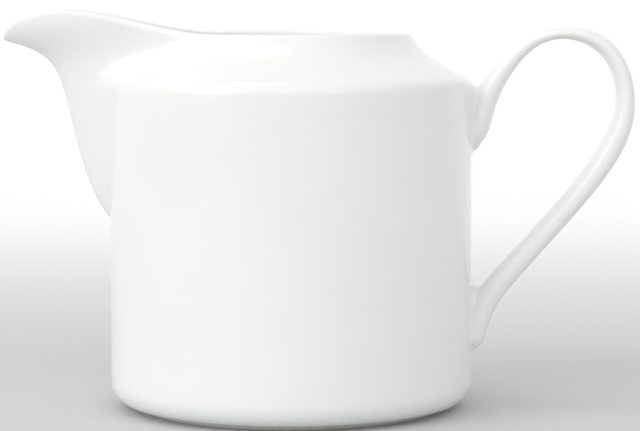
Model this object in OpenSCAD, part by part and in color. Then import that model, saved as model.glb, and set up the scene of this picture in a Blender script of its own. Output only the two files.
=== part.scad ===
// Porcelain cream jug: a slip-cast cylindrical body with a sloping shoulder, a
// luted beak spout, a luted loop handle, the slip that joins them, and a ground
// foot ring. Millimetres. The origin is on the body's axis in the resting
// plane, +Z is up, the spout points along -X and the handle along +X.

/* [Body] */
// Outer radius of the cylindrical wall
body_r = 38; // [37:0.5:39]
// Height of the shoulder's edge, before it is rounded
edge_z = 69; // [68:0.5:71]
// Radius that rounds the shoulder's edge
edge_round = 3; // [2.8:0.1:3.4]
// Rise of the sloping shoulder, in degrees from level
shoulder_slope = 30; // [28:1:32]
// Radius of the hollow curve that lifts the shoulder into the collar
collar_curve = 15; // [13:0.5:16]
// Steepness of the collar where it ends in the rim, in degrees from level
collar_slope = 60; // [56:1:62]
// Outer radius of the mouth at the rim
mouth_r = 25; // [24.5:0.5:26]
// Radius between the wall and the underside
base_round = 4.7; // [4:0.1:5]

/* [Wall] */
// Thickness of the cast wall
wall = 2.4; // [2.2:0.1:2.6]
// Thickness of the rim, which ends in a half-round lip
rim_wall = 2; // [1.8:0.1:2.2]
// Height of the inner floor above the resting plane
floor_z = 4.4; // [4.2:0.1:5]
// Radius between the inner wall and the inner floor
floor_round = 5; // [4:0.5:7]

/* [Foot] */
// Height of the foot ring below the underside
foot_h = 1; // [0.8:0.1:1.4]
// Outer radius of the foot ring where it meets the underside
foot_r = 32.5; // [31:0.5:33]
// Width of the foot ring where it meets the underside
foot_w = 3.6; // [3:0.1:4]
// Depth by which the underside inside the ring is hollowed
foot_hollow = 0.6; // [0.3:0.1:0.9]

/* [Spout] */
// Height at which the spout's toe leaves the wall
toe_z = 40; // [39:0.5:42]
// Reach of the spout's tip from the body's axis
tip_reach = 61; // [60:0.5:63]
// Height of the lowest point of the pouring tip
tip_z = 77.5; // [76.5:0.1:78.5]
// Rise of the spout's side rims over the tip
rim_crest = 18.3; // [17:0.1:19]
// Half width of the underside's rounding at the tip
tip_half_w = 6.4; // [5.6:0.1:7]
// Half width of the spout where its toe leaves the wall
toe_half_w = 5.3; // [4.8:0.1:5.8]
// Half angle that the spout takes of the shoulder's edge, about the body's axis
edge_half_angle = 20.5; // [19:0.5:22]
// Half angle that the spout takes of the rim's crest, about the body's axis
rim_half_angle = 58; // [54:1:62]
// Width of the slip seam between body and spout
seam_w = 0.6; // [0.4:0.1:0.8]

/* [Handle] */
// Half width of the strap, across the jug
strap_half_w = 4.4; // [3.8:0.1:5]
// Half width of the flared terminals, across the jug
terminal_half_w = 6.3; // [5.6:0.1:6.8]
// Length over which each terminal's toe rounds off
toe_round = 4; // [3:0.5:5]
// Fullness of the strap's section: 2 is an ellipse, more is squarer
strap_fullness = 2.3; // [2:0.1:3]
// Thickness of the slip bed between a terminal and the wall
bed_t = 0.8; // [0.6:0.1:1]

/* [Hidden] */
$fn = 96;

glaze = [0.95, 0.955, 0.95];
bisque = [0.90, 0.88, 0.84];

// Steps along each stretch of the profile
wall_steps = 9;
edge_steps = 6;
slope_steps = 4;
collar_steps = 6;
lip_steps = 4;
// Steps from the spout's centre line to each luting cut
cheek_steps = 14;
// Sides of the strap's section, and steps along each stretch of its spine
strap_sides = 16;
spine_steps = 5;

lip_r = rim_wall / 2;
edge_turn = 90 - shoulder_slope;
edge_start = edge_z - edge_round * tan(edge_turn / 2);
slope_run = (body_r - mouth_r - collar_curve * (sin(collar_slope) - sin(shoulder_slope)))
            / cos(shoulder_slope);
slope_end = [body_r - slope_run * cos(shoulder_slope), edge_z + slope_run * sin(shoulder_slope)];
collar_centre = slope_end + collar_curve * [sin(shoulder_slope), cos(shoulder_slope)];
collar_end = collar_slope - 0.5 * lip_r / collar_curve * 180 / PI;
edge_centre = [body_r - edge_round, edge_start];
edge_end = edge_centre + edge_round * [cos(edge_turn), sin(edge_turn)];

// The underside of the spout along the jug's middle plane, as [x, z] controls
keel = [[-body_r, toe_z], [-body_r - 3.1, toe_z + 2.4], [-body_r - 10.4, toe_z + 16.8],
        [-body_r - 8.5, edge_z + 5.7], [-body_r - 9.9, edge_z + 4.6], [-tip_reach, tip_z]];
// Shaping reaches of the spout's cross rows at its toe, at its waist and at its rim
nose_half_w = [1.35, 4.6, tip_half_w];
flank_half_w = [2.7, 7.2, tip_half_w + 3.8];
flank_back = [0.1, 6, 5.3];
cheek_reach = [1.35, 4.5, 18.5];
cheek_drop = 5.3;
waist = 0.6;

// The handle's spine as [x, z, half thickness, half width] controls
spine = [[46.8, 37.3, 3.2, terminal_half_w], [35.3, 56.9, 3.1, terminal_half_w],
         [39.3, 58, 2.9, terminal_half_w], [40.3, 65.7, 2.5, strap_half_w + 0.8],
         [48, 76.6, 1.8, strap_half_w], [55.9, 79.5, 1, strap_half_w],
         [65, 78, 1.9, strap_half_w], [70.2, 70.6, 1.8, strap_half_w],
         [70.7, 61, 2.2, strap_half_w], [66.3, 52.5, 2.5, strap_half_w],
         [60, 44, 2.2, strap_half_w], [46.2, 29, 2.4, strap_half_w + 0.3],
         [40.1, 22.3, 2.7, strap_half_w + 0.9], [37, 11.3, 2.8, terminal_half_w + 0.3],
         [37.3, 3.1, 2.8, terminal_half_w + 0.3]];
// Lowest and highest point of each terminal's slip bed
upper_bed_z = [53.4, 66.6];
lower_bed_z = [11.6, 26.2];

function mix(a, b, t) = a + (b - a) * t;
function unit(v) = v / norm(v);
function bezier(p, t) =
    len(p) == 1 ? p[0] : bezier([for (i = [0:len(p) - 2]) mix(p[i], p[i + 1], t)], t);
// A smooth value that passes through a[0] at 0, a[1] at the waist and a[2] at 1
function through(a, v) = a[0] * (v - waist) * (v - 1) / waist
    + a[1] * v * (v - 1) / (waist * (waist - 1)) + a[2] * v * (v - waist) / (1 - waist);
// Nothing over the lower half, then a rise to 1 at the rim
function upper_half(v) = pow(max(0, 2 * v - 1), 2);
function running(p, i) = i == 0 ? 0 : running(p, i - 1) + norm(p[i] - p[i - 1]);

// The profile above the toe. Each row is [r, z, outward normal r and z, thickness].
profile = concat(
    [for (i = [0:wall_steps]) [body_r, mix(toe_z, edge_start, i / wall_steps), 1, 0, wall]],
    [for (i = [1:edge_steps]) let (a = edge_turn * i / edge_steps)
        [edge_centre[0] + edge_round * cos(a), edge_centre[1] + edge_round * sin(a),
         cos(a), sin(a), wall]],
    [for (i = [1:slope_steps]) let (p = mix(edge_end, slope_end, i / slope_steps))
        [p[0], p[1], sin(shoulder_slope), cos(shoulder_slope), wall]],
    [for (i = [1:collar_steps]) let (a = mix(shoulder_slope, collar_end, i / collar_steps))
        [collar_centre[0] - collar_curve * sin(a), collar_centre[1] - collar_curve * cos(a),
         sin(a), cos(a), mix(wall, rim_wall, i / collar_steps)]]);
top = len(profile) - 1;
outer_rz = [for (p = profile) [p[0], p[1]]];
inner_rz = [for (p = profile) [p[0] - p[2] * p[4], p[1] - p[3] * p[4]]];
lip_rz = half_round(outer_rz[top], inner_rz[top], [-cos(collar_end), sin(collar_end)]);
run = [for (i = [0:top]) running(outer_rz, i)];
share = [for (r = run) r / (run[top] + lip_r)];

// Points of a half-round from a to b, bulging along up
function half_round(a, b, up) = let (m = (a + b) / 2, r = norm(a - b) / 2, e = unit(a - b))
    [for (i = [1:lip_steps - 1]) let (w = 180 * i / lip_steps) m + r * (cos(w) * e + sin(w) * up)];

// The luting cut on the +Y side is one plane up the wall and another over the shoulder.
// They meet on the shoulder's edge. Each is [a, b, c] in y = a x + b z + c.
bend = wall_steps + edge_steps / 2;
function around(rz, angle) = [-rz[0] * cos(angle), rz[0] * sin(angle), rz[1]];
function plane_of(p, q, r) = let (n = cross(q - p, r - p)) [-n[0] / n[1], -n[2] / n[1], n * p / n[1]];
bend_outside = around(outer_rz[bend], edge_half_angle);
bend_inside = around(inner_rz[bend], edge_half_angle);
toe_corner = [-sqrt(body_r * body_r - toe_half_w * toe_half_w), toe_half_w, toe_z];
wall_cut = plane_of(toe_corner, bend_inside, bend_outside);
shoulder_cut = plane_of(around(lip_rz[lip_steps / 2 - 1], rim_half_angle), bend_inside, bend_outside);
function cut_for(k) = k > bend ? shoulder_cut : wall_cut;
// Where the circle of radius rz[0] at height rz[1] meets a cut
function on_cut(cut, rz) = let (d = cut[1] * rz[1] + cut[2], k = 1 + cut[0] * cut[0],
    x = (-cut[0] * d - sqrt(cut[0] * cut[0] * d * d - k * (d * d - rz[0] * rz[0]))) / k)
    [x, cut[0] * x + d, rz[1]];

// The five controls of the spout's outer cross row k, from the keel to the cut
function row_controls(k) = let (v = share[k], c = bezier(keel, v), keel_point = [c[0], 0, c[1]],
    s = on_cut(cut_for(k), outer_rz[k]), along = unit([-s[1], s[0], 0]), lift = upper_half(v))
    [keel_point,
     keel_point + [0, through(nose_half_w, v), 0],
     keel_point + [through(flank_back, v), through(flank_half_w, v), rim_crest * lift],
     s + through(cheek_reach, v) * along - [0, 0, cheek_drop * lift],
     s];
rows = [for (k = [0:top]) row_controls(k)];
skin = [for (k = [0:top]) [for (j = [0:cheek_steps]) bezier(rows[k], j / cheek_steps)]];

// Outward normal of the spout's skin, from its neighbours
function skin_normal(k, j) = let (
    up = skin[min(top, k + 1)][j] - skin[max(0, k - 1)][j],
    side = j == 0 ? [0, 1, 0] : skin[k][min(cheek_steps, j + 1)] - skin[k][j - 1])
    unit(cross(up, side));
// The skin moved in by the wall, level at the toe
function moved_in(k, j) = let (w = profile[k][4], q = skin[k][j])
    k == 0 ? [q[0] * (1 - w / body_r), q[1] * (1 - w / body_r), toe_z] : q - w * skin_normal(k, j);
// The spout's lining, led to the lining of the body at the cut
function lining(k, j) = moved_in(k, j)
    + (on_cut(cut_for(k), inner_rz[k]) - moved_in(k, cheek_steps)) * pow(j / cheek_steps, 4);
// One closed section through the spout's wall: up the skin, over the lip, down the lining
function spout_section(j) = let (o = skin[top][j], i = lining(top, j))
    concat([for (k = [0:top]) skin[k][j]],
           j == cheek_steps ? [for (p = lip_rz) on_cut(shoulder_cut, p)]
                            : half_round(o, i, unit(o - skin[top - 1][j])),
           [for (k = [top:-1:0]) lining(k, j)]);
function mirrored(ring) = [for (p = ring) [p[0], -p[1], p[2]]];

// Triangles across a ring of n points, each point joined to the one opposite
function end_cap(n) = [for (k = [0:ceil(n / 2) - 2]) each
    [[k, k + 1, n - 1 - k], if (k + 1 < n - 2 - k) [k + 1, n - 2 - k, n - 1 - k]]];
// A closed solid through rings of points, all with the same number of points
module loft(rings) {
    n = len(rings[0]);
    last = len(rings) - 1;
    polyhedron(
        points = [for (ring = rings) each ring],
        faces = concat(
            [for (i = [0:last - 1]) for (j = [0:n - 1]) each
                [[i * n + j, (i + 1) * n + j, (i + 1) * n + (j + 1) % n],
                 [i * n + j, (i + 1) * n + (j + 1) % n, i * n + (j + 1) % n]]],
            end_cap(n),
            [for (f = end_cap(n)) [last * n + f[2], last * n + f[1], last * n + f[0]]]),
        convexity = 8);
}

// The full outline of the turned body: outer side, lip, lining and floor
module body_outline() {
    polygon(concat(
        [[0, foot_h + foot_hollow], [foot_r - foot_w - 1, foot_h + foot_hollow],
         [foot_r - foot_w, foot_h]],
        [for (a = [-90:9:-9]) [body_r - base_round, foot_h + base_round]
                              + base_round * [cos(a), sin(a)]],
        [[body_r, foot_h + base_round]],
        outer_rz, lip_rz,
        [for (k = [top:-1:0]) inner_rz[k]],
        [for (a = [0:-10:-90]) [body_r - wall - floor_round, floor_z + floor_round]
                               + floor_round * [cos(a), sin(a)]],
        [[0, floor_z]]));
}

module body_shell() {
    rotate_extrude() body_outline();
}

// The side of a cut that faces the spout, moved out by grow
module cut_side(cut, grow) {
    reach = 4 * body_r;
    sweep = atan(cut[0]);
    translate([0, cut[2] + grow * norm([cut[0], 1, cut[1]]), 0])
        rotate([0, 0, sweep]) rotate([-atan(cut[1] * cos(sweep)), 0, 0])
            translate([-reach, -reach, -reach]) cube([2 * reach, reach, 2 * reach]);
}

// What lies between a cut and its mirror image
module between_cuts(cut, grow) {
    intersection() {
        cut_side(cut, grow);
        mirror([0, 1, 0]) cut_side(cut, grow);
    }
}

// The room that the spout takes out of the body, widened by grow
module spout_room(grow) {
    intersection() {
        union() {
            between_cuts(wall_cut, grow);
            between_cuts(shoulder_cut, grow);
        }
        translate([-2 * body_r, -body_r, toe_z - grow]) cube([2 * body_r, 2 * body_r, body_r + toe_z]);
    }
}

// A curved pad on the wall with round ends, between two heights
module slip_bed(z_range, half_w) {
    intersection() {
        difference() {
            cylinder(r = body_r + bed_t, h = edge_z);
            translate([0, 0, -1]) cylinder(r = body_r, h = edge_z + 2);
        }
        union() {
            for (z = [z_range[0] + half_w, z_range[1] - half_w])
                translate([0, 0, z]) rotate([0, 90, 0]) cylinder(r = half_w, h = 2 * body_r);
            translate([0, -half_w, z_range[0] + half_w])
                cube([2 * body_r, 2 * half_w, z_range[1] - z_range[0] - 2 * half_w]);
        }
    }
}

// A point of the spine on stretch i, as [x, z, half thickness, half width]
function spine_at(i, t) = (pow(1 - t, 3) * spine[i] + (3 * t * t * t - 6 * t * t + 4) * spine[i + 1]
    + (3 * t + 3 * t * t - 3 * t * t * t + 1) * spine[i + 2] + t * t * t * spine[i + 3]) / 6;
stretches = len(spine) - 3;
spine_points = [for (i = [0:stretches * spine_steps]) let (s = min(stretches - 1, floor(i / spine_steps)))
    spine_at(s, i / spine_steps - s)];
spine_last = len(spine_points) - 1;
spine_run = [for (i = [0:spine_last])
    running([for (p = spine_points) [p[0], p[1]]], i)];
function toe_share(i) = let (s = min(spine_run[i], spine_run[spine_last] - spine_run[i]))
    sqrt(1 - pow(1 - min(1, (s + 0.15) / toe_round), 2));
function swell(c) = sign(c) * pow(abs(c), 2 / strap_fullness);
// One closed section of the strap, square to the spine
function strap_section(i) = let (p = spine_points[i],
    d = spine_points[min(spine_last, i + 1)] - spine_points[max(0, i - 1)],
    out = unit([-d[1], 0, d[0]]), k = toe_share(i))
    [for (s = [0:strap_sides - 1]) let (w = 360 * s / strap_sides)
        [p[0], 0, p[1]] + k * p[2] * swell(cos(w)) * out + [0, k * p[3] * swell(sin(w)), 0]];

module body() {
    color(glaze) difference() {
        body_shell();
        spout_room(seam_w);
    }
}

module spout() {
    color(glaze) loft(concat([for (j = [cheek_steps:-1:0]) spout_section(j)],
                             [for (j = [1:cheek_steps]) mirrored(spout_section(j))]));
}

module handle() {
    color(glaze) difference() {
        loft([for (i = [0:spine_last]) strap_section(i)]);
        cylinder(r = body_r + bed_t, h = edge_z + 2 * body_r, $fn = 180);
    }
}

module foot_ring() {
    color(bisque) rotate_extrude() polygon([
        [foot_r - foot_w, foot_h], [foot_r - foot_w + 0.5, 0.3], [foot_r - foot_w + 0.9, 0],
        [foot_r - 0.9, 0], [foot_r - 0.4, 0.3], [foot_r, foot_h]]);
}

module spout_slip() {
    color(glaze) intersection() {
        body_shell();
        difference() {
            spout_room(seam_w);
            spout_room(0);
        }
    }
}

module handle_upper_slip() {
    color(glaze) slip_bed(upper_bed_z, terminal_half_w);
}

module handle_lower_slip() {
    color(glaze) slip_bed(lower_bed_z, terminal_half_w);
}

body();
spout();
handle();
foot_ring();
spout_slip();
handle_upper_slip();
handle_lower_slip();
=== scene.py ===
"""Looks of the porcelain cream jug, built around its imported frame.

The body is turned, the spout is drawn out of its wall and shoulder, and the fused shell
is then parted along the luting seam into the body, the spout and the slip between them.
The handle is drawn along its spine, bedded in slip, and the foot ring is turned apart.
"""

import logging
import math
from collections.abc import Mapping, Sequence
from dataclasses import dataclass, field
from enum import Enum
from typing import Any

import bmesh
import bpy
import numpy as np
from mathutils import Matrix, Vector


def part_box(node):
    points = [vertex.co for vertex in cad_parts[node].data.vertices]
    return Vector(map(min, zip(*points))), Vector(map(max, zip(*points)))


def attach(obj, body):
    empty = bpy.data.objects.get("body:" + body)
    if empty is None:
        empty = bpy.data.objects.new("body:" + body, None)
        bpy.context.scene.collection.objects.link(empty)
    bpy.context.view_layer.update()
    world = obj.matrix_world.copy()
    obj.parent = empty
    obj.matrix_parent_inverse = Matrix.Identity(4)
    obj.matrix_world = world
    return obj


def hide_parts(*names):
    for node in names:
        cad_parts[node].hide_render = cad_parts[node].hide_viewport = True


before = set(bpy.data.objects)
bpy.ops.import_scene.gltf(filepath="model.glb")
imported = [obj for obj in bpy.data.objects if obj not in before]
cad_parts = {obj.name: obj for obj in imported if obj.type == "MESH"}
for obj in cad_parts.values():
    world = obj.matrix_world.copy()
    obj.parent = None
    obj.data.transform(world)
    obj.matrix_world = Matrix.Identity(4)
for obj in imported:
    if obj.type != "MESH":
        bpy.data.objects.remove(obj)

MM = 0.001
WELD = 0.001 * MM
ROOT = "root"
log = logging.getLogger("cream_jug")

Points = np.ndarray
Colour = tuple[float, float, float, float]
Pair = tuple[float, float]
Piece = bpy.types.Object
Finish = bpy.types.Material


class Slot(Enum):
    """The record's material slots."""

    GLAZED = "glazed_porcelain"
    BARE = "bisque_foot"


class Clay(Enum):
    """The clay pieces that the fused shell is parted into."""

    BODY = "body"
    SPOUT = "spout"
    SLIP = "spout_slip"


class Hold(Enum):
    """What is held when a piece is opened for editing, as a kind of part and an action."""

    ALL_POINTS = ("VERT", "SELECT")
    NO_POINTS = ("VERT", "DESELECT")
    NO_FACES = ("FACE", "DESELECT")


# ---- shader expressions


class Value:
    """A shader socket that takes part in Python arithmetic."""

    def __init__(self, graph: "ShaderGraph", socket: bpy.types.NodeSocket) -> None:
        """Wraps a socket of a graph."""
        self.graph = graph
        self.socket = socket

    def _math(self, operation: str, *terms: "Value | float") -> "Value":
        """Adds a Math node over the terms."""
        return self.graph.node("ShaderNodeMath", {"operation": operation}, dict(enumerate(terms)))

    def __add__(self, other: "Value | float") -> "Value":
        """The sum."""
        return self._math("ADD", self, other)

    __radd__ = __add__

    def __sub__(self, other: "Value | float") -> "Value":
        """The difference."""
        return self._math("SUBTRACT", self, other)

    def __rsub__(self, other: float) -> "Value":
        """The difference from a number."""
        return self._math("SUBTRACT", other, self)

    def __mul__(self, other: "Value | float") -> "Value":
        """The product."""
        return self._math("MULTIPLY", self, other)

    __rmul__ = __mul__

    def between(self, low: float, high: float) -> "Value":
        """A smooth rise from 0 where the value is low to 1 where it is high."""
        levels = {"Value": self, "From Min": low, "From Max": high}
        return self.graph.node("ShaderNodeMapRange", {"interpolation_type": "SMOOTHSTEP"}, levels)


class ShaderGraph:
    """The node tree of a material or of the sky, with its shader."""

    def __init__(self, owner: Finish | bpy.types.World) -> None:
        """Starts from the owner's own first nodes.

        Args:
            owner: The material or the sky.
        """
        owner.use_nodes = True
        self.tree = owner.node_tree
        shaders = {"BSDF_PRINCIPLED", "BACKGROUND"}
        self.shader = next(node for node in self.tree.nodes if node.type in shaders)

    def node(self, kind: str, settings: Mapping[str, Any], inputs: Mapping[Any, Any],
             output: int | str = 0) -> Value:
        """Adds a node.

        Args:
            kind: The node's type.
            settings: Its settings, which are set first.
            inputs: Values or links of its sockets, by name or by number.
            output: The output socket that is returned.

        Returns:
            The output socket as a value.
        """
        made = self.tree.nodes.new(kind)
        for key, setting in settings.items():
            setattr(made, key, setting)
        for key, given in inputs.items():
            self.feed(made.inputs[key], given)
        return Value(self, made.outputs[output])

    def feed(self, socket: bpy.types.NodeSocket, given: Any) -> None:
        """Gives an input socket its value.

        Args:
            socket: The socket.
            given: A value to link, or a constant to set.
        """
        if isinstance(given, Value):
            self.tree.links.new(given.socket, socket)
        else:
            socket.default_value = given

    def shade(self, inputs: Mapping[str, Any]) -> None:
        """Gives the shader's inputs, by name, their values."""
        for name, given in inputs.items():
            self.feed(self.shader.inputs[name], given)

    def place(self) -> Value:
        """Where a point is on the piece, in metres."""
        return self.node("ShaderNodeTexCoord", {}, {}, "Object")

    def axis(self, point: Value, name: str) -> Value:
        """One coordinate of a point."""
        return self.node("ShaderNodeSeparateXYZ", {}, {0: point}, name)

    def grain(self, point: Value, size: float, detail: float = 2.0, roughness: float = 0.5) -> Value:
        """Soft noise from 0 to 1.

        Args:
            point: Where it is read.
            size: The size of its features, in metres.
            detail: How many finer octaves it has.
            roughness: How strong those octaves are.

        Returns:
            The noise.
        """
        return self.node(
            "ShaderNodeTexNoise", {},
            {"Vector": point, "Scale": 1.0 / size, "Detail": detail, "Roughness": roughness},
        )

    def tint(self, share: Value, first: Sequence[float], second: Sequence[Any] | Value) -> Value:
        """A colour that goes from the first to the second as share goes from 0 to 1."""
        return self.node("ShaderNodeMix", {"data_type": "RGBA"}, {0: share, 6: first, 7: second}, 2)

    def relief(self, height: Value, depth: float, strength: float) -> Value:
        """A normal that follows a height.

        Args:
            height: The height, from 0 to 1.
            depth: How deep 1 is, in metres.
            strength: How strongly it is applied.

        Returns:
            The normal.
        """
        return self.node("ShaderNodeBump", {}, {"Height": height, "Distance": depth, "Strength": strength})


# ---- finishes


@dataclass(frozen=True)
class ClearGlaze:
    """Clear gloss glaze over white porcelain."""

    white: Colour = (0.895, 0.9, 0.885, 1.0)
    cloudy: Colour = (0.87, 0.88, 0.87, 1.0)
    pooled: Colour = (0.80, 0.835, 0.83, 1.0)
    iron: Colour = (0.62, 0.58, 0.5, 1.0)
    cloud_size: float = 0.03
    cloud_band: Pair = (0.35, 0.7)
    foot_band: Pair = (0.001, 0.0075)
    foot_pool: float = 0.55
    pool_size: float = 0.012
    pool_band: Pair = (0.62, 0.85)
    wall_pool: float = 0.12
    speck_cell: float = 0.009
    speck_size: float = 0.014
    speck_band: Pair = (0.4, 3.0)
    speck_strength: float = 0.25
    ripple_size: float = 0.006
    ripple_depth: float = 0.00002
    ripple_strength: float = 0.6
    peel_share: float = 0.25
    gloss: float = 0.12
    gloss_spread: float = 0.07
    index: float = 1.52
    specular: float = 0.42

    def material(self) -> Finish:
        """Builds the glaze's material.

        Returns:
            The material.
        """
        made = bpy.data.materials.new(Slot.GLAZED.value)
        graph = ShaderGraph(made)
        point = graph.place()
        height = graph.axis(point, "Z")
        clouds = graph.grain(point, self.cloud_size, 3.0).between(*self.cloud_band)
        near_foot = 1.0 - height.between(*self.foot_band)
        thick = graph.grain(point, self.pool_size).between(*self.pool_band)
        pool = near_foot * self.foot_pool + thick * self.wall_pool
        clay = graph.tint(clouds, self.white, self.cloudy)
        glazed = graph.tint(pool, clay, self.pooled)
        cell = graph.node(
            "ShaderNodeTexVoronoi", {"feature": "F1"},
            {"Vector": point, "Scale": 1.0 / self.speck_cell}, "Distance",
        )
        speck = 1.0 - cell.between(*(edge * self.speck_size for edge in self.speck_band))
        colour = graph.tint(speck * self.speck_strength, glazed, self.iron)
        ripple = graph.grain(point, self.ripple_size, 2.0)
        peel = graph.grain(point, self.peel_share * self.ripple_size, 1.0)
        relief = graph.relief(ripple + peel * self.peel_share, self.ripple_depth, self.ripple_strength)
        gloss = self.gloss + ripple * self.gloss_spread
        graph.shade({"Base Color": colour, "Roughness": gloss, "Normal": relief,
                     "IOR": self.index, "Specular IOR Level": self.specular})
        return made


@dataclass(frozen=True)
class BareFoot:
    """Bare porcelain, ground flat where the jug stands."""

    bare: Colour = (0.83, 0.815, 0.78, 1.0)
    soiled: Colour = (0.62, 0.59, 0.53, 1.0)
    grain_size: float = 0.0006
    grain_depth: float = 0.00003
    grain_strength: float = 0.8
    mark_size: float = 0.006
    mark_band: Pair = (0.5, 0.75)
    dullness: float = 0.78
    dullness_spread: float = 0.15

    def material(self) -> Finish:
        """Builds the bare clay's material.

        Returns:
            The material.
        """
        made = bpy.data.materials.new(Slot.BARE.value)
        graph = ShaderGraph(made)
        point = graph.place()
        fine = graph.grain(point, self.grain_size, 3.0)
        marks = graph.grain(point, self.mark_size, 3.0).between(*self.mark_band)
        relief = graph.relief(fine, self.grain_depth, self.grain_strength)
        colour = graph.tint(marks * fine, self.bare, self.soiled)
        dullness = self.dullness + fine * self.dullness_spread
        graph.shade({"Base Color": colour, "Roughness": dullness, "Normal": relief})
        return made


@dataclass(frozen=True)
class StudioPaperWithPaintedShade:
    """Paper of the floor and its cove, pale grey in front of and under the jug as painted shade, and white
    behind it.
    """

    # The grey of the floor's front and of the floor under the jug is painted shade.
    near: Colour = (0.64, 0.64, 0.64, 1.0)
    far: Colour = (0.95, 0.95, 0.95, 1.0)
    painted_shade_band: Pair = (0.02, 0.5)
    fibre_size: float = 0.004
    fibre_strength: float = 0.03
    dullness: float = 0.9

    def material(self) -> Finish:
        """Builds the paper's material, grey in front of and under the jug as painted shade.

        Returns:
            The material.
        """
        made = bpy.data.materials.new("studio_paper_painted_shade")
        graph = ShaderGraph(made)
        point = graph.place()
        # Painted shade: the paper goes from grey in front of and under the jug to white behind it.
        behind = graph.axis(point, "Y").between(*self.painted_shade_band)
        fibre = graph.grain(point, self.fibre_size, 3.0) * self.fibre_strength
        colour = graph.tint(behind - fibre, self.near, self.far)
        graph.shade({"Base Color": colour, "Roughness": self.dullness, "Specular IOR Level": 0.0})
        return made


# ---- curves


def unit(vectors: Points) -> Points:
    """Vectors of length 1, along the last axis."""
    return vectors / np.linalg.norm(vectors, axis=-1, keepdims=True)


def bezier(controls: Sequence[Points], share: Points | float) -> Points:
    """A point of a Bezier curve, by de Casteljau's rule.

    Args:
        controls: The control points.
        share: How far along the curve, from 0 to 1, in a shape that the controls multiply with.

    Returns:
        The point or points.
    """
    level = list(controls)
    while len(level) > 1:
        level = [a + (b - a) * share for a, b in zip(level, level[1:])]
    return level[0]


def half_round(start: Points, end: Points, up: Points, steps: int) -> list[Points]:
    """Rows of a half-round, without its ends.

    Args:
        start: The points that it starts at.
        end: The points that it ends at.
        up: The directions that it bulges in.
        steps: How many steps it takes.

    Returns:
        The rows, from start to end.
    """
    middle, reach = (start + end) / 2, (start - end) / 2
    radius = np.linalg.norm(reach, axis=-1, keepdims=True)
    turns = [math.pi * i / steps for i in range(1, steps)]
    return [middle + math.cos(w) * reach + math.sin(w) * radius * up for w in turns]


def arc(centre: Pair, radius: float, start: float, end: float, steps: int) -> list[Pair]:
    """Points of an arc in the outline's plane, from start to end in degrees, with both ends."""
    turns = np.radians(np.linspace(start, end, steps + 1))
    return [(centre[0] + radius * math.cos(w), centre[1] + radius * math.sin(w)) for w in turns]


# ---- hand work


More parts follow.
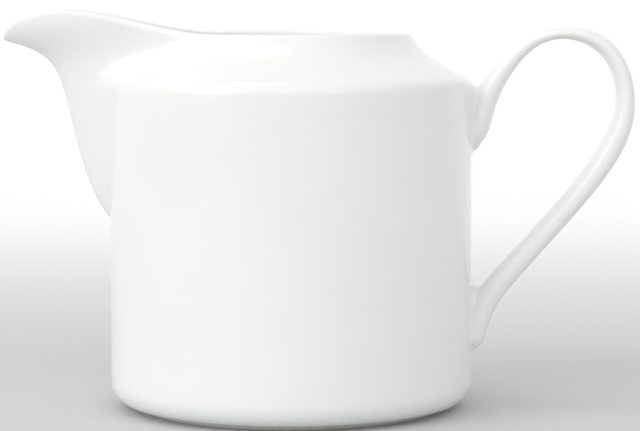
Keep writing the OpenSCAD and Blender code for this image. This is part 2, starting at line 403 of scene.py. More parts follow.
class Bench:
    """The hand moves that shape a mesh."""

    @staticmethod
    def clear() -> None:
        """Deselects everything."""
        bpy.ops.object.select_all(action="DESELECT")

    @staticmethod
    def take(piece: Piece) -> None:
        """Selects one piece and makes it active.

        Args:
            piece: The piece.
        """
        Bench.clear()
        piece.select_set(True)
        bpy.context.view_layer.objects.active = piece

    @staticmethod
    def open(hold: Hold = Hold.ALL_POINTS) -> None:
        """Opens the active piece for editing.

        Args:
            hold: What is selected at first.
        """
        kind, action = hold.value
        bpy.ops.object.mode_set(mode="EDIT")
        bpy.ops.mesh.select_mode(type=kind)
        bpy.ops.mesh.select_all(action=action)

    @staticmethod
    def close() -> None:
        """Ends the editing."""
        bpy.ops.object.mode_set(mode="OBJECT")

    @staticmethod
    def close_outward() -> None:
        """Turns all faces outwards and ends the editing."""
        bpy.ops.mesh.select_all(action="SELECT")
        bpy.ops.mesh.normals_make_consistent(inside=False)
        Bench.close()

    @staticmethod
    def name(piece: Piece, name: str) -> Piece:
        """Names a piece and its mesh."""
        piece.name = piece.data.name = name
        return piece

    @staticmethod
    def draw_line(name: str, points: Sequence[Sequence[float]]) -> Piece:
        """Draws a line by extruding one vertex from point to point.

        Args:
            name: The piece's name.
            points: The points in millimetres.

        Returns:
            The piece, with a whole-number attribute "row" that numbers its points.
        """
        at = [Vector(p) * MM for p in points]
        Bench.clear()
        bpy.ops.mesh.primitive_plane_add(size=MM, location=at[0])
        piece = Bench.name(bpy.context.object, name)
        bpy.ops.object.transform_apply(location=True, rotation=True, scale=True)
        Bench.open()
        bpy.ops.mesh.merge(type="CENTER")
        for here, there in zip(at, at[1:]):
            bpy.ops.mesh.extrude_vertices_move(TRANSFORM_OT_translate={"value": there - here})
        Bench.close()
        rows = [int(np.argmin([(p - vert.co).length for p in at])) for vert in piece.data.vertices]
        piece.data.attributes.new("row", "INT", "POINT").data.foreach_set("value", rows)
        return piece

    @staticmethod
    def turn(piece: Piece, steps: int) -> None:
        """Spins a drawn line round the jug's axis and welds it at the axis.

        Args:
            piece: The line.
            steps: How many steps the full turn takes.
        """
        Bench.take(piece)
        Bench.open()
        bpy.ops.mesh.spin(steps=steps, angle=math.tau, center=(0, 0, 0), axis=(0, 0, 1))
        bpy.ops.mesh.select_all(action="SELECT")
        bpy.ops.mesh.remove_doubles(threshold=WELD)
        Bench.close_outward()

    @staticmethod
    def raise_rings(name: str, rings: Sequence[Points]) -> Piece:
        """Raises a closed piece ring by ring from a circle, and fills both ends.

        Args:
            name: The piece's name.
            rings: Rings of points in millimetres, all with the same number of points.

        Returns:
            The piece.
        """
        Bench.clear()
        bpy.ops.mesh.primitive_circle_add(vertices=len(rings[0]), radius=MM, fill_type="NOTHING")
        piece = Bench.name(bpy.context.object, name)
        Bench.open()
        shape = bmesh.from_edit_mesh(piece.data)
        shape.verts.ensure_lookup_table()
        held = list(shape.verts)
        for vert, point in zip(held, rings[0]):
            vert.co = Vector(point) * MM
        bpy.ops.mesh.edge_face_add()
        for ring in rings[1:]:
            bpy.ops.mesh.select_all(action="DESELECT")
            shape = bmesh.from_edit_mesh(piece.data)
            for a, b in zip(held, held[1:] + held[:1]):
                shape.edges.get((a, b)).select = True
            bpy.ops.mesh.extrude_edges_indiv()
            raised = [next(e.other_vert(v) for e in v.link_edges if e.other_vert(v).select) for v in held]
            for vert, point in zip(raised, ring):
                vert.co = Vector(point) * MM
            held = raised
        bpy.ops.mesh.edge_face_add()
        Bench.close_outward()
        return piece

    @staticmethod
    def smooth(piece: Piece, sharp_past: float = 180.0) -> None:
        """Shades a piece smooth, up to an angle in degrees between faces."""
        Bench.take(piece)
        bpy.ops.object.shade_smooth_by_angle(angle=math.radians(sharp_past))

    @staticmethod
    def dress(piece: Piece, material: Finish, slot: Slot, node: str) -> None:
        """Gives a piece its finish and its body, and hides the frame's node that it stands for.

        Args:
            piece: The piece.
            material: The finish.
            slot: The record's slot for that finish, which is not used.
            node: The frame's node that it stands for, which is hidden.
        """
        piece.data.materials.clear()
        piece.data.materials.append(material)
        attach(piece, ROOT)
        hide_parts(node)
        size = Vector(piece.dimensions) / MM
        log.info("%s: %d faces, %.1f x %.1f x %.1f mm", piece.name, len(piece.data.polygons), *size)


# ---- the turned outline


@dataclass
class Outline:
    """The outline of the turned body, in millimetres, in rows that run up the skin."""

    body_r: float
    toe_z: float
    foot_h: float
    edge_z: float = 69.0
    edge_round: float = 3.0
    shoulder_slope: float = 30.0
    collar_curve: float = 15.0
    collar_slope: float = 60.0
    mouth_r: float = 25.0
    base_round: float = 4.7
    wall: float = 2.4
    rim_wall: float = 2.0
    floor_z: float = 4.4
    floor_round: float = 5.0
    foot_r: float = 32.5
    foot_w: float = 3.6
    foot_hollow: float = 0.6
    ledge: float = 1.2
    ledge_round: float = 0.6
    ring_lap: Pair = (0.2, 0.1)
    seam_w: float = 0.6
    wall_steps: int = 24
    edge_steps: int = 8
    slope_steps: int = 8
    collar_steps: int = 14
    lip_steps: int = 10
    flat_steps: int = 8
    ledge_steps: int = 4
    base_steps: int = 14
    skirt_steps: int = 14
    well_steps: int = 13
    floor_steps: int = 12
    outer: Points = field(init=False)
    normal: Points = field(init=False)
    thick: Points = field(init=False)

    def __post_init__(self) -> None:
        """Works out the rows between the spout's toe and the rim."""
        slope, end = math.radians(self.shoulder_slope), math.radians(self.collar_slope)
        lip = self.rim_wall / 2
        run = self.body_r - self.mouth_r - self.collar_curve * (math.sin(end) - math.sin(slope))
        slope_end = np.array([self.body_r - run, self.edge_z + run * math.tan(slope)])
        edge_start = self.edge_z - self.edge_round * math.tan((math.pi / 2 - slope) / 2)
        rows = [(self.body_r, z, 0.0) for z in np.linspace(self.toe_z, edge_start, self.wall_steps + 1)]
        for turn in np.linspace(0, math.pi / 2 - slope, self.edge_steps + 1)[1:]:
            rows.append((self.body_r - self.edge_round * (1 - math.cos(turn)),
                         edge_start + self.edge_round * math.sin(turn), turn))
        start = np.array(rows[-1][:2])
        for share in np.linspace(0, 1, self.slope_steps + 1)[1:]:
            rows.append((*(start + (slope_end - start) * share), math.pi / 2 - slope))
        centre = slope_end + self.collar_curve * np.array([math.sin(slope), math.cos(slope)])
        collar_end = end - 0.5 * lip / self.collar_curve
        for turn in np.linspace(slope, collar_end, self.collar_steps + 1)[1:]:
            rows.append((*(centre - self.collar_curve * np.array([math.sin(turn), math.cos(turn)])),
                         math.pi / 2 - turn))
        table = np.array(rows)
        self.outer = table[:, :2]
        self.normal = np.stack([np.cos(table[:, 2]), np.sin(table[:, 2])], -1)
        self.thick = np.full(len(table), self.wall)
        self.thick[-self.collar_steps:] = np.linspace(self.wall, self.rim_wall, self.collar_steps + 1)[1:]

    @property
    def inner(self) -> Points:
        """The lining's rows, each opposite its row of the skin."""
        return self.outer - self.normal * self.thick[:, None]

    @property
    def tangent(self) -> Points:
        """The direction of the skin as it runs up, row by row."""
        return np.stack([-self.normal[:, 1], self.normal[:, 0]], -1)

    @property
    def bend_row(self) -> int:
        """The row in the middle of the shoulder's edge."""
        return self.wall_steps + self.edge_steps // 2

    def rise(self) -> Points:
        """Measures how far along the skin each row is.

        Returns:
            From 0 at the toe to nearly 1 at the rim's crest.
        """
        steps = np.linalg.norm(np.diff(self.outer, axis=0), axis=1)
        run = np.concatenate([[0.0], np.cumsum(steps)])
        return run / (run[-1] + self.rim_wall / 2)

    def below(self) -> list[Pair]:
        """Draws the skin under the toe.

        Returns:
            Points from the middle of the underside up to the seam's foot.
        """
        hollow = self.foot_h + self.foot_hollow
        inside = self.foot_r - self.foot_w
        flat = [(r, hollow) for r in np.linspace(0, inside - self.ledge, self.flat_steps + 1)]
        bend = (inside - self.ledge, hollow - self.ledge_round)
        step = arc(bend, self.ledge_round, 90, 0, self.ledge_steps)[1:-1]
        under = [(inside - self.ring_lap[0], self.foot_h), (self.foot_r + self.ring_lap[1], self.foot_h)]
        centre = (self.body_r - self.base_round, self.foot_h + self.base_round)
        base = arc(centre, self.base_round, -90, 0, self.base_steps)
        levels = np.linspace(base[-1][1], self.toe_z - self.seam_w, self.skirt_steps + 1)
        return flat + step + under + base + [(self.body_r, z) for z in levels[1:]]

    def inside(self) -> list[Pair]:
        """Draws the lining under the toe.

        Returns:
            Points from the seam's foot down to the middle of the floor.
        """
        radius = self.body_r - self.wall
        low = self.floor_z + self.floor_round
        side = [(radius, z) for z in np.linspace(self.toe_z - self.seam_w, low, self.well_steps + 1)[:-1]]
        bend = arc((radius - self.floor_round, low), self.floor_round, 0, -90, self.floor_steps)
        flat = np.linspace(radius - self.floor_round, 0, self.flat_steps + 1)[1:]
        return side + bend + [(r, self.floor_z) for r in flat]


# ---- the spout


@dataclass
class SpoutForm:
    """The form of the beak spout, in millimetres, as cross rows that end in the luting seam."""

    outline: Outline
    tip_reach: float = 61.0
    tip_z: float = 77.5
    rim_crest: float = 18.4
    tip_half_w: float = 6.4
    toe_half_w: float = 5.3
    edge_half_angle: float = 20.5
    rim_half_angle: float = 53.0
    waist: float = 0.6
    rim_reach: float = 21.0
    rim_drop: float = 3.0
    belly: float = 2.6
    belly_lean: float = 2.6
    nose_w: Pair = (1.35, 4.2)
    flank_w: Pair = (2.7, 6.8)
    flank_flare: float = 4.0
    flank_belly: float = 0.8
    flank_back: tuple[float, float, float] = (0.1, 6.0, 5.0)
    cheek_reach: Pair = (2.0, 8.5)
    foot_reach: float = 0.45
    foot_drop: float = 0.12
    lining_lead: int = 4

    def keel(self) -> list[Points]:
        """Lists the controls of the underside's middle line.

        Returns:
            The controls, as x and z.
        """
        side, toe, edge = -self.outline.body_r, self.outline.toe_z, self.outline.edge_z
        return [np.array(p) for p in (
            (side, toe), (side - 3.1, toe + 2.4), (side - 10.4, toe + 16.8),
            (side - 8.5, edge + 5.7), (side - 9.9, edge + 4.6), (-self.tip_reach, self.tip_z))]

    def through(self, low: float, middle: float, high: float, rise: Points) -> Points:
        """Spreads three values smoothly over the rows.

        Args:
            low: The value at the toe.
            middle: The value at the waist.
            high: The value at the rim.
            rise: How far up each row is.

        Returns:
            The value of each row.
        """
        w = self.waist
        return (low * (rise - w) * (rise - 1) / w + middle * rise * (rise - 1) / (w * (w - 1))
                + high * rise * (rise - w) / (1 - w))

    def around(self, rz: Points, angle: float) -> Points:
        """A point of the outline, turned by an angle in degrees from the spout towards -Y."""
        w = math.radians(angle)
        return np.array([-rz[0] * math.cos(w), rz[0] * math.sin(w), rz[1]])

    def seam_angles(self) -> Points:
        """Works out where the seam crosses each row.

        Returns:
            The half angle, in radians, that the spout takes of each row.
        """
        line = self.outline
        bend = line.bend_row
        bend_out = self.around(line.outer[bend], self.edge_half_angle)
        bend_in = self.around(line.inner[bend], self.edge_half_angle)
        toe = np.array([-math.sqrt(line.body_r ** 2 - self.toe_half_w ** 2), self.toe_half_w, line.toe_z])
        crest = half_round(line.outer[-1], line.inner[-1], line.tangent[-1], 2)[0]
        angles = []
        # The seam lies in two flat cuts that meet at the bend: one to the toe, one to the rim.
        for row, rz in enumerate(line.outer):
            third = toe if row <= bend else self.around(crest, self.rim_half_angle)
            normal = np.cross(bend_in - third, bend_out - third)
            a, b, c = -normal[0] / normal[1], -normal[2] / normal[1], third @ normal / normal[1]
            level, k = b * rz[1] + c, 1 + a * a
            x = (-a * level - math.sqrt((a * level) ** 2 - k * (level ** 2 - rz[0] ** 2))) / k
            angles.append(math.atan2(a * x + level, -x))
        return np.array(angles)

    def at_seam(self, rz: Points) -> Points:
        """Rows of the outline's plane, as r and z, swung to the seam."""
        angles = self.seam_angles()
        return np.stack([-rz[:, 0] * np.cos(angles), rz[:, 0] * np.sin(angles), rz[:, 1]], -1)

    def skin(self, shares: Points) -> Points:
        """The outer skin on one side.

        Args:
            shares: How far each column is from the keel to the seam, from 0 to 1.

        Returns:
            Points by row, by column.
        """
        line, rise, angles = self.outline, self.outline.rise(), self.seam_angles()
        nothing = 0 * rise
        lift = np.maximum(0, 2 * rise - 1) ** 2
        keel = bezier(self.keel(), rise[:, None])
        middle = np.stack([keel[:, 0], nothing, keel[:, 1]], -1)
        along = np.stack([-np.sin(angles), -np.cos(angles), nothing], -1)
        seam, upward = self.at_seam(line.outer), self.at_seam(line.tangent)
        above = ((rise - self.waist) / (1 - self.waist)).clip(0, 1)
        belly = self.belly * np.sin(math.pi * above ** self.belly_lean)
        nose_w = self.through(*self.nose_w, self.tip_half_w, rise) + belly
        nose = middle + np.stack([nothing, nose_w, nothing], -1)
        flank_w = self.through(*self.flank_w, self.tip_half_w + self.flank_flare, rise)
        flank = middle + np.stack([self.through(*self.flank_back, rise),
                                   flank_w + self.flank_belly * belly, self.rim_crest * lift], -1)
        reach = along * self.through(*self.cheek_reach, self.rim_reach, rise)[:, None]
        drop = upward * (self.rim_drop * lift)[:, None]
        cheek = seam + reach - drop
        foot = seam + self.foot_reach * reach - self.foot_drop * drop
        controls = [c[:, None, :] for c in (middle, nose, flank, cheek, foot, seam)]
        return bezier(controls, shares[None, :, None])

    def lining(self, skin: Points, shares: Points) -> Points:
        """The lining on one side, inside the skin by the wall and led to the body's at the seam.

        Args:
            skin: Points of the skin, by row, by column.
            shares: How far each column is from the keel to the seam.

        Returns:
            Points of the lining, by row, by column.
        """
        line = self.outline
        up = np.gradient(skin, axis=0)
        side = np.gradient(skin, axis=1)
        side[:, 0] = (0, 1, 0)
        normal = unit(np.cross(up, side))
        inside = skin - normal * line.thick[:, None, None]
        inside[0] = skin[0] * (1 - line.wall / line.body_r, 1 - line.wall / line.body_r, 1)
        missed = (self.at_seam(line.inner) - inside[:, -1])[:, None, :]
        return inside + missed * (shares ** self.lining_lead)[None, :, None]

    def lip(self, skin: Points, lining: Points) -> list[Points]:
        """Rounds the lip over the wall.

        Args:
            skin: Points of the skin.
            lining: Points of the lining.

        Returns:
            Rows from the skin's top row to the lining's.
        """
        across = unit(skin[-1] - lining[-1])
        rim = np.gradient(skin[-1], axis=0)
        rim[0] = (0, 1, 0)
        up = unit(np.cross(across, rim))
        up *= np.sign((up * (skin[-1] - skin[-2])).sum(-1, keepdims=True))
        return half_round(skin[-1], lining[-1], up, self.outline.lip_steps)


@dataclass
class Shell:
    """The fused shell of body and spout, and the pieces that it is parted into."""

    outline: Outline
    spout: SpoutForm
    columns: int = 280
    spout_columns: int = 34
    slip_columns: int = 2
    slip_from_r: float = 20.0
    bunching: float = 0.5

    def __post_init__(self) -> None:
        """Lists the outline's points and where its stretches begin."""
        line = self.outline
        self.lip = half_round(line.outer[-1], line.inner[-1], line.tangent[-1], line.lip_steps)
        below, inside = line.below(), line.inside()
        self.points = np.array([*below, *line.outer, *self.lip, *line.inner[::-1], *inside])
        self.toe_row = len(below)
        self.rim_row = self.toe_row + len(line.outer) - 1
        self.lining_row = self.rim_row + len(self.lip) + 1
        self.lining_toe_row = self.lining_row + len(line.outer) - 1

    def row_angles(self) -> Points:
        """Gives every point of the outline the spout's half angle.

        Returns:
            The half angles, in radians.
        """
        angles = self.spout.seam_angles()
        below, above = self.toe_row, len(self.points) - self.lining_toe_row - 1
        return np.concatenate([np.full(below, angles[0]), angles, np.full(len(self.lip), angles[-1]),
                               angles[::-1], np.full(above, angles[0])])

    def drawn_rows(self, shares: Points) -> Points:
        """Draws one side of the spout.

        Args:
            shares: How far each column is from the keel to the seam.

        Returns:
            Points for the rows from the toe, over the lip, to the lining's toe.
        """
        skin = self.spout.skin(shares)
        lining = self.spout.lining(skin, shares)
        return np.stack([*skin, *self.spout.lip(skin, lining), *lining[::-1]])

    def column_angles(self, half_angle: Points) -> Points:
        """Spreads the columns of one side over the spout, the slip and the body.

        Args:
            half_angle: The spout's half angle at every row.

        Returns:
            The angle of every column, row by row.
        """
        half = self.columns // 2
        column = np.arange(half + 1)
        slip = self.outline.seam_w / self.points[:, 0].clip(self.slip_from_r)
        inner = half_angle[:, None] * np.minimum(column / self.spout_columns, 1)
        seam = slip[:, None] * ((column - self.spout_columns) / self.slip_columns).clip(0, 1)
        rest = half - self.spout_columns - self.slip_columns
        far = ((column - self.spout_columns - self.slip_columns) / rest).clip(0, 1)
        return inner + seam + (math.pi - half_angle - slip)[:, None] * far

    def build(self) -> Piece:
        """Turns the body and draws the spout out of it.

        Returns:
            The fused shell, with whole-number attributes "row" and "column" and a vector
            attribute "skin_normal" on its points.
        """
        line = [(-r, 0.0, z) for r, z in self.points]
        shell = Bench.draw_line("fused_shell", line)
        Bench.turn(shell, self.columns)
        self.set_points(shell)
        return shell

    def set_points(self, shell: Piece) -> None:
        """Moves the turned points to the seam's columns and onto the spout.

        Args:
            shell: The turned body.
        """
        mesh = shell.data
        count = len(mesh.vertices)
        places = np.zeros(count * 3)
        mesh.vertices.foreach_get("co", places)
        places = places.reshape(-1, 3)
        rows = np.zeros(count, int)
        mesh.attributes["row"].data.foreach_get("value", rows)
        step = math.tau / self.columns
        columns = np.rint(np.arctan2(places[:, 1], -places[:, 0]) / step).astype(int)
        side, column = np.where(columns < 0, -1, 1), np.abs(columns)
        turned = self.column_angles(self.row_angles())[rows, column]
        radius = self.points[rows, 0]
        heights = self.points[rows, 1]
        places = np.stack([-radius * np.cos(turned), side * radius * np.sin(turned), heights], -1)
        even = np.linspace(0, 1, self.spout_columns + 1)
        bunched = self.bunching / 2 * (1 - np.cos(math.pi * even))
        drawn = self.drawn_rows((1 - self.bunching) * even + bunched)
        inside = (rows > self.toe_row) & (rows < self.lining_toe_row) & (column < self.spout_columns)
        spout = drawn[rows[inside] - self.toe_row, column[inside]]
        places[inside] = spout * np.stack([np.ones(len(spout)), side[inside], np.ones(len(spout))], -1)
        mesh.vertices.foreach_set("co", (places * MM).ravel())
        mesh.attributes.new("column", "INT", "POINT").data.foreach_set("value", column)
        mesh.update()
        normals = np.zeros(count * 3)
        mesh.vertex_normals.foreach_get("vector", normals)
        mesh.attributes.new("skin_normal", "FLOAT_VECTOR", "POINT").data.foreach_set("vector", normals)

    def owner(self, rows: Sequence[int], columns: Sequence[int]) -> Clay:
        """Finds the piece that a face belongs to.

        Args:
            rows: The rows of its corners.
            columns: The columns of its corners.

        Returns:
            The piece.
        """
        low, high = min(rows), max(rows)
        if low >= self.toe_row and high <= self.lining_toe_row and max(columns) <= self.spout_columns:
            return Clay.SPOUT
        in_seam = low >= self.toe_row - 1 and high <= self.lining_toe_row + 1
        if in_seam and max(columns) <= self.spout_columns + self.slip_columns:
            return Clay.SLIP
        return Clay.BODY

    def part(self, shell: Piece, clay: Clay) -> Piece:
        """Cuts one piece out of the fused shell and closes it along the seam.

        Args:
            shell: The fused shell, which is left as it is.
            clay: The piece.

        Returns:
            The closed piece, shaded as the shell is.
        """
        Bench.take(shell)
        bpy.ops.object.duplicate()
        piece = Bench.name(bpy.context.object, "clay_" + clay.value)
        Bench.open(Hold.NO_FACES)
        shape = bmesh.from_edit_mesh(piece.data)
        row, column = (shape.verts.layers.int[key] for key in ("row", "column"))
        for face in shape.faces:
            rows, columns = [v[row] for v in face.verts], [v[column] for v in face.verts]
            face.select = self.owner(rows, columns) is not clay
        bpy.ops.mesh.delete(type="FACE")
        self.close_seams(bmesh.from_edit_mesh(piece.data))
        bmesh.update_edit_mesh(piece.data)
        Bench.close()
        Bench.smooth(piece)
        self.keep_shading(piece)
        return piece

    def close_seams(self, shape: bmesh.types.BMesh) -> None:
        """Closes the cut walls of a piece from its skin to its lining.

        Args:
            shape: The piece's mesh, open along the cut.
        """
        row, column = (shape.verts.layers.int[key] for key in ("row", "column"))
        opposite = self.toe_row + self.lining_toe_row
        cut = [edge for edge in shape.edges if edge.is_boundary]
        ends = {(v[row], v[column], v.co.y > 0): v for edge in cut for v in edge.verts}

        def over(vert: bmesh.types.BMVert) -> bmesh.types.BMVert:
            """The point of the lining across from a point of the skin."""
            return ends[(opposite - vert[row], vert[column], vert.co.y > 0)]

        lips: dict[tuple[int, bool], list[bmesh.types.BMVert]] = {}
        for edge in cut:
            a, b = edge.link_loops[0].vert, edge.link_loops[0].link_loop_next.vert
            if max(a[row], b[row]) <= self.rim_row:
                shape.faces.new((b, a, over(a), over(b)))
            elif min(a[row], b[row]) < self.lining_row:
                for vert in (a, b):
                    bucket = lips.setdefault((a[column], a.co.y > 0), [])
                    if vert not in bucket:
                        bucket.append(vert)
        for bucket in lips.values():
            shape.faces.new(sorted(bucket, key=lambda v: v[row]))
        bmesh.ops.recalc_face_normals(shape, faces=shape.faces)

    def keep_shading(self, piece: Piece) -> None:
        """Shades a piece with the fused shell's own normals, so that no seam shows in the glaze.

        Args:
            piece: The piece.
        """
        normals = np.zeros(len(piece.data.vertices) * 3)
        piece.data.attributes["skin_normal"].data.foreach_get("vector", normals)
        piece.data.normals_split_custom_set_from_vertices(normals.reshape(-1, 3).tolist())


# ---- the handle


@dataclass
class Handle:
    """The solid loop strap, drawn along a smooth spine, in millimetres."""

    body_r: float
    strap_half_w: float = 4.4
    terminal_half_w: float = 6.3
    toe_round: float = 4.0
    fullness: float = 2.3
    sides: int = 40
    toe_steps: int = 9
    spacing: float = 1.6
    lead: float = 2.0
    first_turn: float = 12.0
    samples: int = 60
    bedded: float = 0.5
    wall_sides: int = 360
    wall_h: float = 200.0
    wall_z: float = 40.0
    crease: float = 60.0

    def spine(self) -> Points:
        """Lists the spine's controls, from the upper toe to the lower one.

        Returns:
            The controls, as x, z, half thickness and half width.
        """
        strap, terminal = self.strap_half_w, self.terminal_half_w
        return np.array([
            (46.8, 37.3, 3.2, terminal), (35.3, 56.9, 3.1, terminal), (39.3, 58.0, 2.9, terminal),
            (40.3, 65.7, 2.5, strap + 0.8), (48.0, 76.6, 1.8, strap), (55.9, 79.5, 1.0, strap),
            (65.0, 78.0, 1.9, strap), (70.2, 70.6, 1.8, strap), (70.7, 61.0, 2.2, strap),
            (66.3, 52.5, 2.5, strap), (60.0, 44.0, 2.2, strap), (46.2, 29.0, 2.4, strap + 0.3),
            (40.1, 22.3, 2.7, strap + 0.9), (37.0, 11.3, 2.8, terminal + 0.3),
            (37.3, 3.1, 2.8, terminal + 0.3)])

    def stations(self) -> tuple[Points, Points, Points]:
        """Stations along the spine, close together at the toes.

        Returns:
            The stations, their directions, and the share of the full section at each.
        """
        controls = self.spine()
        t = np.linspace(0, 1, self.samples, endpoint=False)[:, None]
        weights = [(1 - t) ** 3, 3 * t ** 3 - 6 * t ** 2 + 4, 3 * t + 3 * t ** 2 - 3 * t ** 3 + 1, t ** 3]
        fine = np.concatenate([sum(w * controls[i + j] for j, w in enumerate(weights)) / 6
                               for i in range(len(controls) - 3)])
        run = np.concatenate([[0.0], np.cumsum(np.linalg.norm(np.diff(fine[:, :2], axis=0), axis=1))])
        turns = np.linspace(math.radians(self.first_turn), math.pi / 2, self.toe_steps)
        toe = self.toe_round * (1 - np.cos(turns))
        middle = np.linspace(self.toe_round, run[-1] - self.toe_round,
                             int(run[-1] / self.spacing))[1:-1]
        places = np.concatenate([toe, middle, (run[-1] - toe)[::-1]])
        stations = np.stack([np.interp(places, run, fine[:, k]) for k in range(4)], -1)
        behind, ahead = (np.stack([np.interp(places + step, run, fine[:, k]) for k in range(2)], -1)
                         for step in (-self.lead, self.lead))
        directions = unit(ahead - behind)
        end = np.minimum(places, run[-1] - places)
        share = np.sqrt(1 - (1 - np.minimum(1, end / self.toe_round)) ** 2)
        return stations, directions, share

    def ring(self, station: Points, direction: Points, share: float) -> Points:
        """Draws one closed section of the strap, square to the spine.

        Args:
            station: Its place, half thickness and half width.
            direction: The spine's direction there.
            share: Its share of the full section.

        Returns:
            Its points.
        """
        turn = np.linspace(0, math.tau, self.sides, endpoint=False)
        swell = [np.sign(c) * np.abs(c) ** (2 / self.fullness) for c in (np.cos(turn), np.sin(turn))]
        out = share * station[2] * swell[0]
        return np.stack([station[0] - direction[1] * out, share * station[3] * swell[1],
                         station[1] + direction[0] * out], -1)

    def build(self) -> Piece:
        """Draws the strap and cuts its terminals to the wall.

        Returns:
            The closed strap.
        """
        strap = Bench.raise_rings("clay_handle", [self.ring(*s) for s in zip(*self.stations())])
        Bench.clear()
        bpy.ops.mesh.primitive_cylinder_add(
            vertices=self.wall_sides, radius=(self.body_r - self.bedded) * MM,
            depth=self.wall_h * MM, location=(0, 0, self.wall_z * MM))
        cutter = bpy.context.object
        Bench.take(strap)
        trim = strap.modifiers.new("wall_trim", "BOOLEAN")
        trim.operation = "DIFFERENCE"
        trim.object = cutter
        bpy.ops.object.modifier_apply(modifier=trim.name)
        bpy.data.objects.remove(cutter)
        Bench.smooth(strap, self.crease)
        return strap


@dataclass
class SlipBed:
    """The slip that beds one terminal of the handle, wiped to a hollow fillet, in millimetres."""

    name: str
    outline: Outline
    centre_z: float
    climb: float = 1.8
    spread: float = 1.8
    notch_climb: float = 3.2
    notch_spread: float = 4.2
    notch_reach: float = 6.0
    core_share: float = 0.3
    core_h: float = 0.6
    skirt_h: float = 0.1
    tuck: float = 0.9
    tuck_drop: float = 0.3
    overlap: float = 0.15
    bedded: float = 0.4
    sides: int = 120
    steps: int = 12
    nearest: float = 2.0
    farthest: float = 8.5
    probe: float = 0.2
    strokes: int = 4
    crease: float = 50.0

    def on_wall(self, reach: Points, height: Points) -> Points:
        """Lays a ring of points over the wall.

        Args:
            reach: How far it reaches from the terminal's centre in every direction.
            height: How high it is over the wall in every direction.

        Returns:
            Its points.
        """
        turn = np.linspace(0, math.tau, self.sides, endpoint=False)
        z = self.centre_z + reach * np.sin(turn)
        wall = np.interp(z, self.outline.outer[:, 1], self.outline.outer[:, 0])
        angle = reach * np.cos(turn) / self.outline.body_r
        return np.stack([(wall + height) * np.cos(angle), (wall + height) * np.sin(angle), z], -1)

    def contour(self, strap: Piece, height: Points, limit: Points) -> Points:
        """How far the terminal reaches in every direction, at a height over the wall.

        Args:
            strap: The handle.
            height: The height in every direction.
            limit: The farthest reach that counts in every direction.

        Returns:
            The reach in every direction.
        """
        found = np.zeros(self.sides)
        for reach in np.arange(self.nearest, limit.max(), self.probe):
            for side, point in enumerate(self.on_wall(np.full(self.sides, reach), height)):
                place = Vector(point) * MM
                hit, near, normal, _ = strap.closest_point_on_mesh(place)
                if hit and reach < limit[side] and (place - near).dot(normal) < 0:
                    found[side] = reach
        for _ in range(self.strokes):
            found = (np.roll(found, 1) + 2 * found + np.roll(found, -1)) / 4
        return found

    def build(self, strap: Piece) -> Piece:
        """Builds the bed round a terminal, deepest in the notch over it.

        Args:
            strap: The handle.

        Returns:
            The closed bed.
        """
        turn = np.linspace(0, math.tau, self.sides, endpoint=False)
        notch = np.sin(turn).clip(0, 1) ** 2
        level = np.ones(self.sides)
        climb = self.climb + self.notch_climb * notch
        spread = self.spread + self.notch_spread * notch
        low = self.contour(strap, self.skirt_h * level, self.farthest * level)
        high = self.contour(strap, climb, low + self.probe + self.notch_reach * notch)
        core = self.core_share * low
        rings = [self.on_wall(core, self.core_h * level),
                 self.on_wall(high - self.tuck, climb - self.tuck_drop)]
        for t in np.linspace(0, 1, self.steps + 1):
            reach = (1 - t) ** 2 * (high - self.overlap) + 2 * t * (1 - t) * low + t * t * (low + spread)
            rings.append(self.on_wall(reach, (1 - t) ** 2 * climb))
        rings += [self.on_wall(reach, -self.bedded * level) for reach in (low + spread, core)]
        bed = Bench.raise_rings("clay_" + self.name, rings)
        Bench.smooth(bed, self.crease)
        return bed


@dataclass
class FootRing:
    """The ground ring that the jug stands on, in millimetres."""

    height: float
    outer_r: float
    width: float
    inset: float = 0.3
    columns: int = 192
    crease: float = 35.0

    def build(self) -> Piece:
        """Turns the ring.

        Returns:
            The closed ring.
        """
        inner, outer = self.outer_r - self.width, self.outer_r
        high, top = self.height, self.height + self.inset
        outline = [(inner, top), (inner, high), (inner + 0.35, 0.45), (inner + 0.6, 0.18),
                   (inner + 0.95, 0.0), (outer - 0.95, 0.0), (outer - 0.6, 0.12),
                   (outer - 0.35, 0.4), (outer, high), (outer, top)]
        ring = Bench.draw_line("bare_foot_ring", [(r, 0.0, z) for r, z in outline])
        Bench.take(ring)
        Bench.open(Hold.NO_POINTS)
        for vert in bmesh.from_edit_mesh(ring.data).verts:
            vert.select = vert.co.z > (high + self.inset / 2) * MM
        bpy.ops.mesh.edge_face_add()
        Bench.close()
        Bench.turn(ring, self.columns)
        Bench.smooth(ring, self.crease)
        return ring


# ---- the studio


@dataclass(frozen=True)
class SoftLamp:
    """A broad soft light, far from the jug."""

    name: str
    stands: tuple[float, float, float]
    power: float
    spread: float

    def hang(self) -> None:
        """Hangs the lamp, aimed at the jug."""
        lamp = bpy.data.lights.new(self.name, "SUN")
        lamp.energy = self.power
        lamp.angle = math.radians(self.spread)
        hung = bpy.data.objects.new(self.name, lamp)
        hung.rotation_euler = (-Vector(self.stands)).to_track_quat("-Z", "Y").to_euler()
        bpy.context.scene.collection.objects.link(hung)


LAMPS = (
    SoftLamp("key_softbox", (-0.74, -0.54, 0.42), 0.93, 48.0),
    SoftLamp("front_softbox", (0.22, -0.9, 0.5), 0.44, 50.0),
    SoftLamp("right_softbox", (0.8, -0.4, 0.4), 0.15, 60.0),
    SoftLamp("top_softbox", (-0.2, 0.0, 1.0), 0.2, 20.0),
)


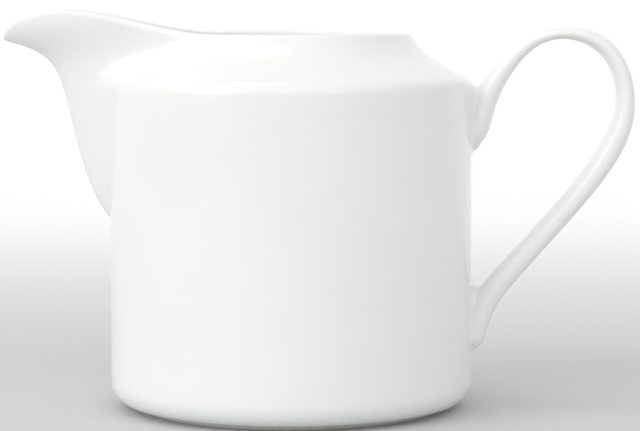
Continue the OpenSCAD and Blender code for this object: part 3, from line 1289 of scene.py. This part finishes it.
@dataclass
class Studio:
    """A pale floor with a cove, in millimetres, soft light, and the camera, in metres."""

    camera_at: tuple[float, float, float] = (0.0061, -0.5318, 0.0879)
    camera_tilt: float = 84.895
    lens: float = 142.3
    sensor_w: float = 36.0
    sky_left: float = 0.8
    sky_right: float = 0.6
    floor_front: float = -2500.0
    floor_back: float = 1200.0
    floor_w: float = 5000.0
    cove_r: float = 500.0
    cove_steps: int = 18
    wall_top: float = 2500.0

    def floor(self, paper: Finish) -> None:
        """Lays the floor and curves it up behind the jug.

        Args:
            paper: The paper's material.
        """
        back, radius = self.floor_back, self.cove_r
        points = [(0.0, self.floor_front, 0.0)]
        points += [(0.0, y, z) for y, z in arc((back, radius), radius, -90, 0, self.cove_steps)]
        points.append((0.0, back + radius, self.wall_top))
        cove = Bench.draw_line("studio_cove", points)
        Bench.take(cove)
        Bench.open()
        bpy.ops.transform.translate(value=(-self.floor_w / 2 * MM, 0, 0))
        bpy.ops.mesh.extrude_region_move(TRANSFORM_OT_translate={"value": (self.floor_w * MM, 0, 0)})
        Bench.close_outward()
        Bench.smooth(cove)
        cove.data.materials.append(paper)

    def light(self) -> None:
        """Sets the sky and hangs the lamps."""
        world = bpy.data.worlds.new("studio_sky")
        graph = ShaderGraph(world)
        toward = graph.axis(graph.node("ShaderNodeTexCoord", {}, {}, "Generated"), "X")
        strength = self.sky_left + toward.between(-1.0, 1.0) * (self.sky_right - self.sky_left)
        graph.shade({"Strength": strength, "Color": (1.0, 1.0, 1.0, 1.0)})
        bpy.context.scene.world = world
        for lamp in LAMPS:
            lamp.hang()
        bpy.context.scene.view_settings.view_transform = "Standard"

    def camera(self) -> None:
        """Places the camera."""
        data = bpy.data.cameras.new("camera")
        data.sensor_width = self.sensor_w
        data.lens = self.lens
        seen = bpy.data.objects.new("camera", data)
        seen.location = self.camera_at
        seen.rotation_euler = (math.radians(self.camera_tilt), 0, 0)
        bpy.context.scene.collection.objects.link(seen)
        bpy.context.scene.camera = seen


# ---- assembly


def span(node: str) -> tuple[Vector, Vector]:
    """The lowest and highest corner of a node, in millimetres."""
    low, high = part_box(node)
    return low / MM, high / MM


def main() -> None:
    """Builds the jug and its studio round the frame."""
    logging.basicConfig(level=logging.INFO, format="%(name)s: %(message)s")
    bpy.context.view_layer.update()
    _, body_high = span("body")
    _, foot_high = span("foot_ring")
    spout_low, _ = span("spout")
    body_r = body_high.y
    glaze, bare = ClearGlaze().material(), BareFoot().material()

    outline = Outline(body_r=body_r, toe_z=spout_low.z, foot_h=foot_high.z)
    shell_form = Shell(outline, SpoutForm(outline))
    shell = shell_form.build()
    for clay in Clay:
        Bench.dress(shell_form.part(shell, clay), glaze, Slot.GLAZED, clay.value)
    bpy.data.objects.remove(shell)

    handle = Handle(body_r).build()
    for node in ("handle_upper_slip", "handle_lower_slip"):
        low, high = span(node)
        bed = SlipBed(node, outline, (low.z + high.z) / 2).build(handle)
        Bench.dress(bed, glaze, Slot.GLAZED, node)
    Bench.dress(handle, glaze, Slot.GLAZED, "handle")
    foot = FootRing(foot_high.z, foot_high.y, outline.foot_w).build()
    Bench.dress(foot, bare, Slot.BARE, "foot_ring")

    studio = Studio()
    studio.floor(StudioPaperWithPaintedShade().material())
    studio.light()
    studio.camera()


if __name__ == "__main__":
    main()
